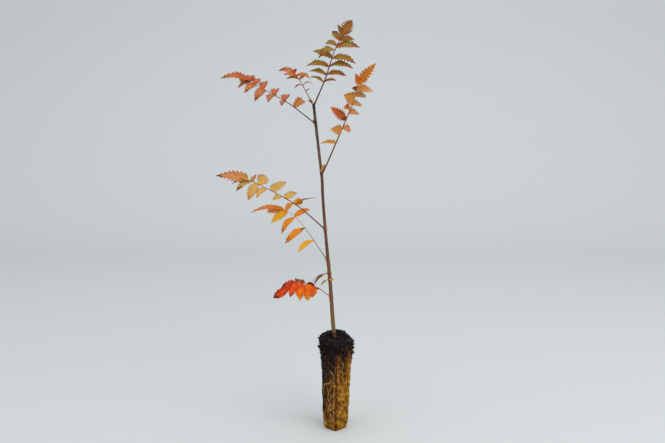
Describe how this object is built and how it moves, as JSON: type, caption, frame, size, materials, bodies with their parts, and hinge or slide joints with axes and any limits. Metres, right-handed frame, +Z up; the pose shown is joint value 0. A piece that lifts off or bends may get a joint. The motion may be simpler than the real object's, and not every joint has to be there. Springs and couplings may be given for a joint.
{
  "type": "rowan sapling",
  "caption": "Slender rowan sapling in autumn leaf, with feathery compound leaves and a tapered bare root ball that it stands on.",
  "frame": {"origin": "centre of the root ball's flat underside, on the surface that the plant stands on", "axes": "+Z up along the stem, +X to the right seen from the front, +Y to the back; -Y is the side mostly seen, with a corner of the root ball to the front"},
  "size_m": [0.2041, 0.1109, 0.5263],
  "materials": {
    "root_ball": "dark crumbly compost held by pale fibrous roots",
    "bark": "smooth young bark, brown below and maroon above, with pale lenticels",
    "leaf_olive": "olive leaf turning rust at its edges",
    "leaf_russet": "thin russet young leaf",
    "leaf_coral": "coral red autumn leaf",
    "leaf_apricot": "apricot and tan autumn leaf",
    "leaf_straw": "straw yellow autumn leaf with pink tips",
    "leaf_amber": "amber autumn leaf with orange patches",
    "leaf_scarlet": "scarlet and orange autumn leaf with dark edges",
    "leaf_dried": "dry brown leaf remains"
  },
  "bodies": {
    "root": {"root_ball": "root_ball", "stem": "bark", "leaf_top": "leaf_olive", "leaf_young": "leaf_russet", "leaf_upper_left": "leaf_coral", "leaf_right": "leaf_apricot", "leaf_middle_left": "leaf_straw", "leaf_lower_left": "leaf_amber", "leaf_lowest": "leaf_scarlet", "dried_leaf_upper": "leaf_dried", "dried_leaf_lower": "leaf_dried"}
  },
  "joints": []
}
